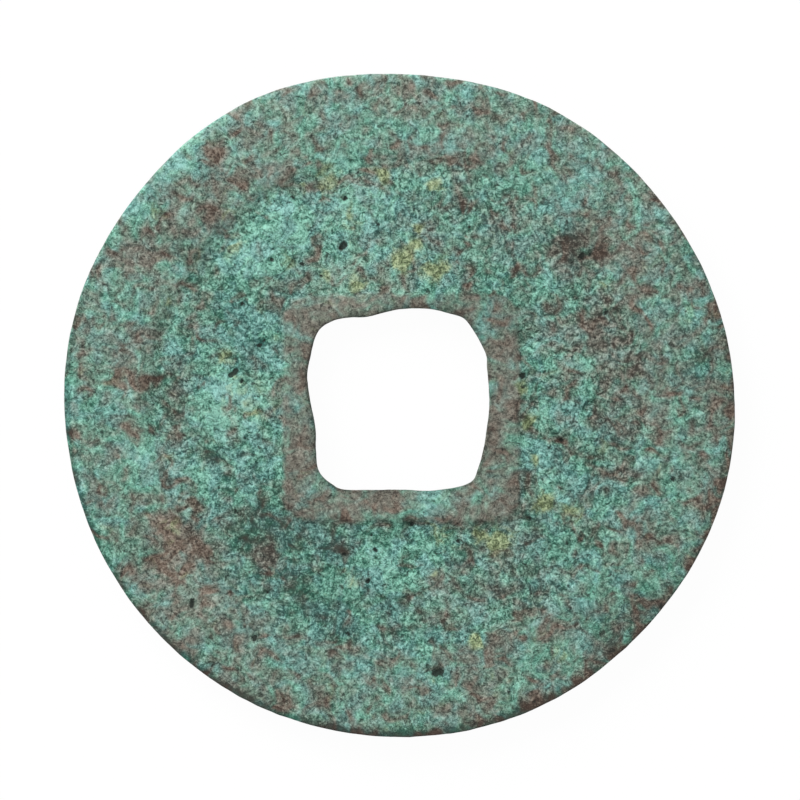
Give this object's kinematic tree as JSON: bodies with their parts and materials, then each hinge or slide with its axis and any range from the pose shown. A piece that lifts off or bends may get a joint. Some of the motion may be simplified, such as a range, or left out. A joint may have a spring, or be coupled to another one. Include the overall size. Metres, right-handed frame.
{
  "type": "chinese cash coin",
  "caption": "Round cast bronze coin with a square hole, raised rims, bare sunken fields and verdigris crusts.",
  "frame": {"origin": "middle of the underside of the outer rim, where the coin rests", "axes": "+Z is the coin's axis and points out of the front face, +Y is up in the picture, +X is right in the picture"},
  "size_m": [0.0252, 0.0248, 0.0014],
  "materials": {
    "patinated_bronze": "cast bronze under a dull brown and green patina",
    "verdigris": "dry, matt, powdery copper corrosion"
  },
  "bodies": {
    "root": {"bronze_casting": "patinated_bronze", "front_crust_top": "verdigris", "front_crust_left": "verdigris", "front_crust_bottom": "verdigris", "front_crust_right": "verdigris", "back_crust_top": "verdigris", "back_crust_side": "verdigris"}
  },
  "joints": []
}
